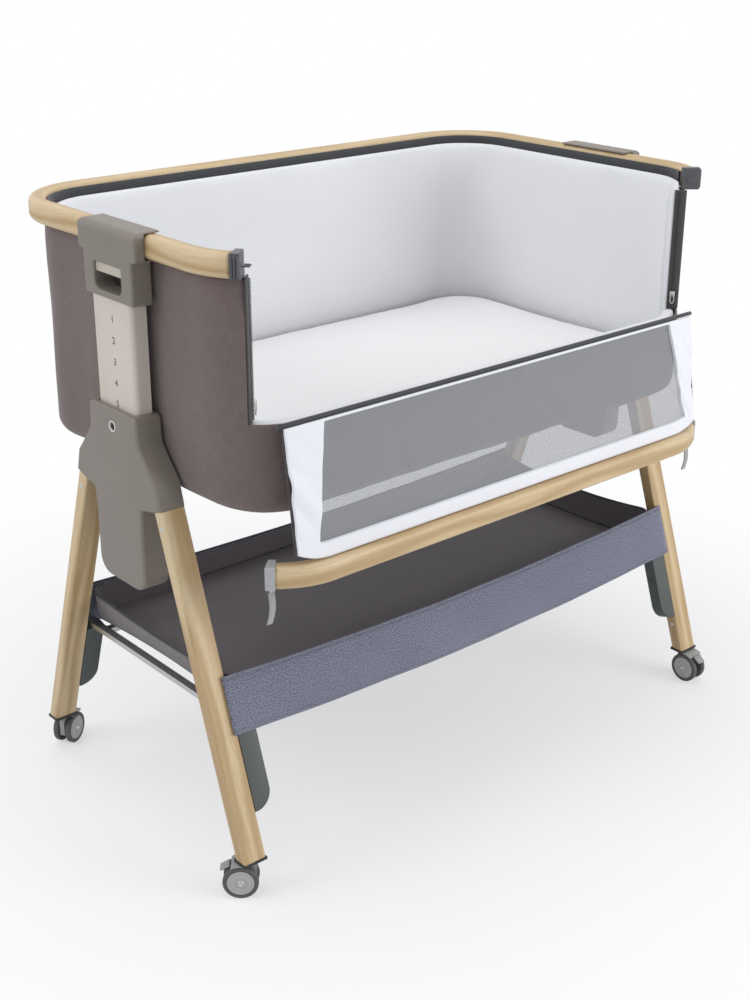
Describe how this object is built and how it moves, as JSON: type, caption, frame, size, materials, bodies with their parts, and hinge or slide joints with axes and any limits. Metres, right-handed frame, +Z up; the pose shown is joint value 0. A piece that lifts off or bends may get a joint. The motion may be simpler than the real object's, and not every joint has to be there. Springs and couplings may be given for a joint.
{
  "type": "bedside sleeper crib",
  "caption": "Bedside sleeper crib with a fabric cot in a wooden rail, drop-down mesh front, splayed wooden legs on casters and a storage basket below",
  "frame": {"origin": "on the floor, under the middle of the overall size", "axes": "+X along the length, -Y towards the open bed side, +Z up"},
  "size_m": [1.013, 0.61, 0.8853],
  "materials": {
    "oak": "satin clear coat",
    "taupe_plastic": "fine satin",
    "pale_plastic": "satin",
    "slate_plastic": "satin",
    "dark_plastic": "satin",
    "caster_tread": "worn matt",
    "grey_melange": "woven melange",
    "cream_cloth": "soft knit",
    "white_cloth": "fine cotton",
    "grey_net": "fine mesh",
    "dark_binding": "woven tape",
    "webbing": "ribbed tape",
    "steel": "satin",
    "tube_metal": "satin",
    "board": "plain"
  },
  "bodies": {
    "base": {"back_left_leg": "oak", "back_left_shelf_socket": "slate_plastic", "back_right_leg": "oak", "back_right_shelf_socket": "slate_plastic", "front_left_leg": "oak", "front_left_shelf_socket": "slate_plastic", "front_right_leg": "oak", "front_right_shelf_socket": "slate_plastic", "left_leg_casing": "taupe_plastic", "leg_end_plates": "dark_plastic", "leg_rivets": "steel", "right_leg_casing": "taupe_plastic"},
    "bassinet": {"top_rail": "oak", "outer_cloth": "grey_melange", "liner": "cream_cloth", "rail_trim": "dark_binding", "bed_board": "board", "bed_frame": "tube_metal", "zip_tapes": "dark_binding", "panel_piping": "dark_binding", "left_rail_bracket": "taupe_plastic", "left_height_tube": "pale_plastic", "left_rail_end": "dark_plastic", "right_rail_bracket": "taupe_plastic", "right_height_tube": "pale_plastic", "right_rail_end": "dark_plastic"},
    "mattress": {"mattress": "white_cloth"},
    "drop_panel": {"panel_border": "white_cloth", "panel_net": "grey_net"},
    "drop_rail": {"front_rail": "oak", "left_rail_cap": "pale_plastic", "right_rail_cap": "pale_plastic"},
    "shelf": {"shelf_basket": "grey_melange", "shelf_frame": "tube_metal"},
    "left_latch": {"left_latch_pin": "steel", "left_pull_strap": "webbing"},
    "left_lever": {"left_height_lever": "pale_plastic"},
    "left_bolt": {"left_lock_bolt": "steel"},
    "left_zip": {"left_zip_slider": "steel"},
    "right_latch": {"right_latch_pin": "steel", "right_pull_strap": "webbing"},
    "right_lever": {"right_height_lever": "pale_plastic"},
    "right_bolt": {"right_lock_bolt": "steel"},
    "right_zip": {"right_zip_slider": "steel"},
    "front_left_caster_swivel": {"front_left_caster_fork": "pale_plastic"},
    "front_left_caster_roll": {"front_left_caster_wheels": "caster_tread"},
    "front_left_caster_brake": {"front_left_caster_pedal": "pale_plastic"},
    "front_right_caster_swivel": {"front_right_caster_fork": "pale_plastic"},
    "front_right_caster_roll": {"front_right_caster_wheels": "caster_tread"},
    "front_right_caster_brake": {"front_right_caster_pedal": "pale_plastic"},
    "back_left_caster_swivel": {"back_left_caster_fork": "pale_plastic"},
    "back_left_caster_roll": {"back_left_caster_wheels": "caster_tread"},
    "back_left_caster_brake": {"back_left_caster_pedal": "pale_plastic"},
    "back_right_caster_swivel": {"back_right_caster_fork": "pale_plastic"},
    "back_right_caster_roll": {"back_right_caster_wheels": "caster_tread"},
    "back_right_caster_brake": {"back_right_caster_pedal": "pale_plastic"}
  },
  "joints": [
    {"name": "height_slide", "type": "slide", "parent": "base", "child": "bassinet", "axis": [0, 0, 1], "range_m": [-0.145, 0]},
    {"name": "mattress_lift", "type": "slide", "parent": "bassinet", "child": "mattress", "axis": [0, 0, 1], "range_m": [0, 0.35]},
    {"name": "panel_swing", "type": "hinge", "parent": "bassinet", "child": "drop_panel", "pos_m": [0, -0.2625, 0.666], "axis": [-1, 0, 0], "range_deg": [0, 171.37]},
    {"name": "front_rail_turn", "type": "hinge", "parent": "drop_panel", "child": "drop_rail", "pos_m": [0, -0.2925, 0.46826], "axis": [-1, 0, 0], "range_deg": [-171.37, 0]},
    {"name": "left_latch_slide", "type": "slide", "parent": "drop_rail", "child": "left_latch", "axis": [0, 0, 1], "range_m": [0, 0.006]},
    {"name": "left_lever_squeeze", "type": "slide", "parent": "bassinet", "child": "left_lever", "axis": [0, 0, 1], "range_m": [-0.006, 0]},
    {"name": "left_bolt_slide", "type": "slide", "parent": "bassinet", "child": "left_bolt", "axis": [1, 0, 0], "range_m": [0, 0.006]},
    {"name": "left_zip_run", "type": "slide", "parent": "bassinet", "child": "left_zip", "axis": [0, 0, 1], "range_m": [0, 0.15]},
    {"name": "right_latch_slide", "type": "slide", "parent": "drop_rail", "child": "right_latch", "axis": [0, 0, 1], "range_m": [0, 0.006]},
    {"name": "right_lever_squeeze", "type": "slide", "parent": "bassinet", "child": "right_lever", "axis": [0, 0, 1], "range_m": [-0.006, 0]},
    {"name": "right_bolt_slide", "type": "slide", "parent": "bassinet", "child": "right_bolt", "axis": [-1, 0, 0], "range_m": [0, 0.006]},
    {"name": "right_zip_run", "type": "slide", "parent": "bassinet", "child": "right_zip", "axis": [0, 0, 1], "range_m": [0, 0.15]},
    {"name": "shelf_lift", "type": "slide", "parent": "base", "child": "shelf", "axis": [0, 0, 1], "range_m": [0, 0.06]},
    {"name": "front_left_caster_turn", "type": "hinge", "parent": "base", "child": "front_left_caster_swivel", "pos_m": [-0.467, -0.262, 0.057], "axis": [0, 0, 1], "continuous": true},
    {"name": "front_left_caster_spin", "type": "hinge", "parent": "front_left_caster_swivel", "child": "front_left_caster_roll", "pos_m": [-0.47773, -0.253, 0.025], "axis": [0.6428, 0.766, 0], "continuous": true},
    {"name": "front_left_caster_press", "type": "hinge", "parent": "front_left_caster_swivel", "child": "front_left_caster_brake", "pos_m": [-0.4896, -0.24304, 0.0505], "axis": [-0.6428, -0.766, 0], "range_deg": [0, 12]},
    {"name": "front_right_caster_turn", "type": "hinge", "parent": "base", "child": "front_right_caster_swivel", "pos_m": [0.467, -0.262, 0.057], "axis": [0, 0, 1], "continuous": true},
    {"name": "front_right_caster_spin", "type": "hinge", "parent": "front_right_caster_swivel", "child": "front_right_caster_roll", "pos_m": [0.467, -0.276, 0.025], "axis": [-1, 0, 0], "continuous": true},
    {"name": "front_right_caster_press", "type": "hinge", "parent": "front_right_caster_swivel", "child": "front_right_caster_brake", "pos_m": [0.467, -0.2915, 0.0505], "axis": [1, 0, 0], "range_deg": [0, 12]},
    {"name": "back_left_caster_turn", "type": "hinge", "parent": "base", "child": "back_left_caster_swivel", "pos_m": [-0.467, 0.242, 0.057], "axis": [0, 0, 1], "continuous": true},
    {"name": "back_left_caster_spin", "type": "hinge", "parent": "back_left_caster_swivel", "child": "back_left_caster_roll", "pos_m": [-0.45488, 0.249, 0.025], "axis": [0.5, -0.866, 0], "continuous": true},
    {"name": "back_left_caster_press", "type": "hinge", "parent": "back_left_caster_swivel", "child": "back_left_caster_brake", "pos_m": [-0.44145, 0.25675, 0.0505], "axis": [-0.5, 0.866, 0], "range_deg": [0, 12]},
    {"name": "back_right_caster_turn", "type": "hinge", "parent": "base", "child": "back_right_caster_swivel", "pos_m": [0.467, 0.242, 0.057], "axis": [0, 0, 1], "continuous": true},
    {"name": "back_right_caster_spin", "type": "hinge", "parent": "back_right_caster_swivel", "child": "back_right_caster_roll", "pos_m": [0.47773, 0.251, 0.025], "axis": [0.6428, -0.766, 0], "continuous": true},
    {"name": "back_right_caster_press", "type": "hinge", "parent": "back_right_caster_swivel", "child": "back_right_caster_brake", "pos_m": [0.4896, 0.26096, 0.0505], "axis": [-0.6428, 0.766, 0], "range_deg": [0, 12]}
  ],
  "couplings": [
    {"joint": "front_rail_turn", "follows": "panel_swing", "ratio": -1},
    {"joint": "left_bolt_slide", "follows": "left_lever_squeeze", "ratio": -1},
    {"joint": "right_bolt_slide", "follows": "right_lever_squeeze", "ratio": -1}
  ]
}
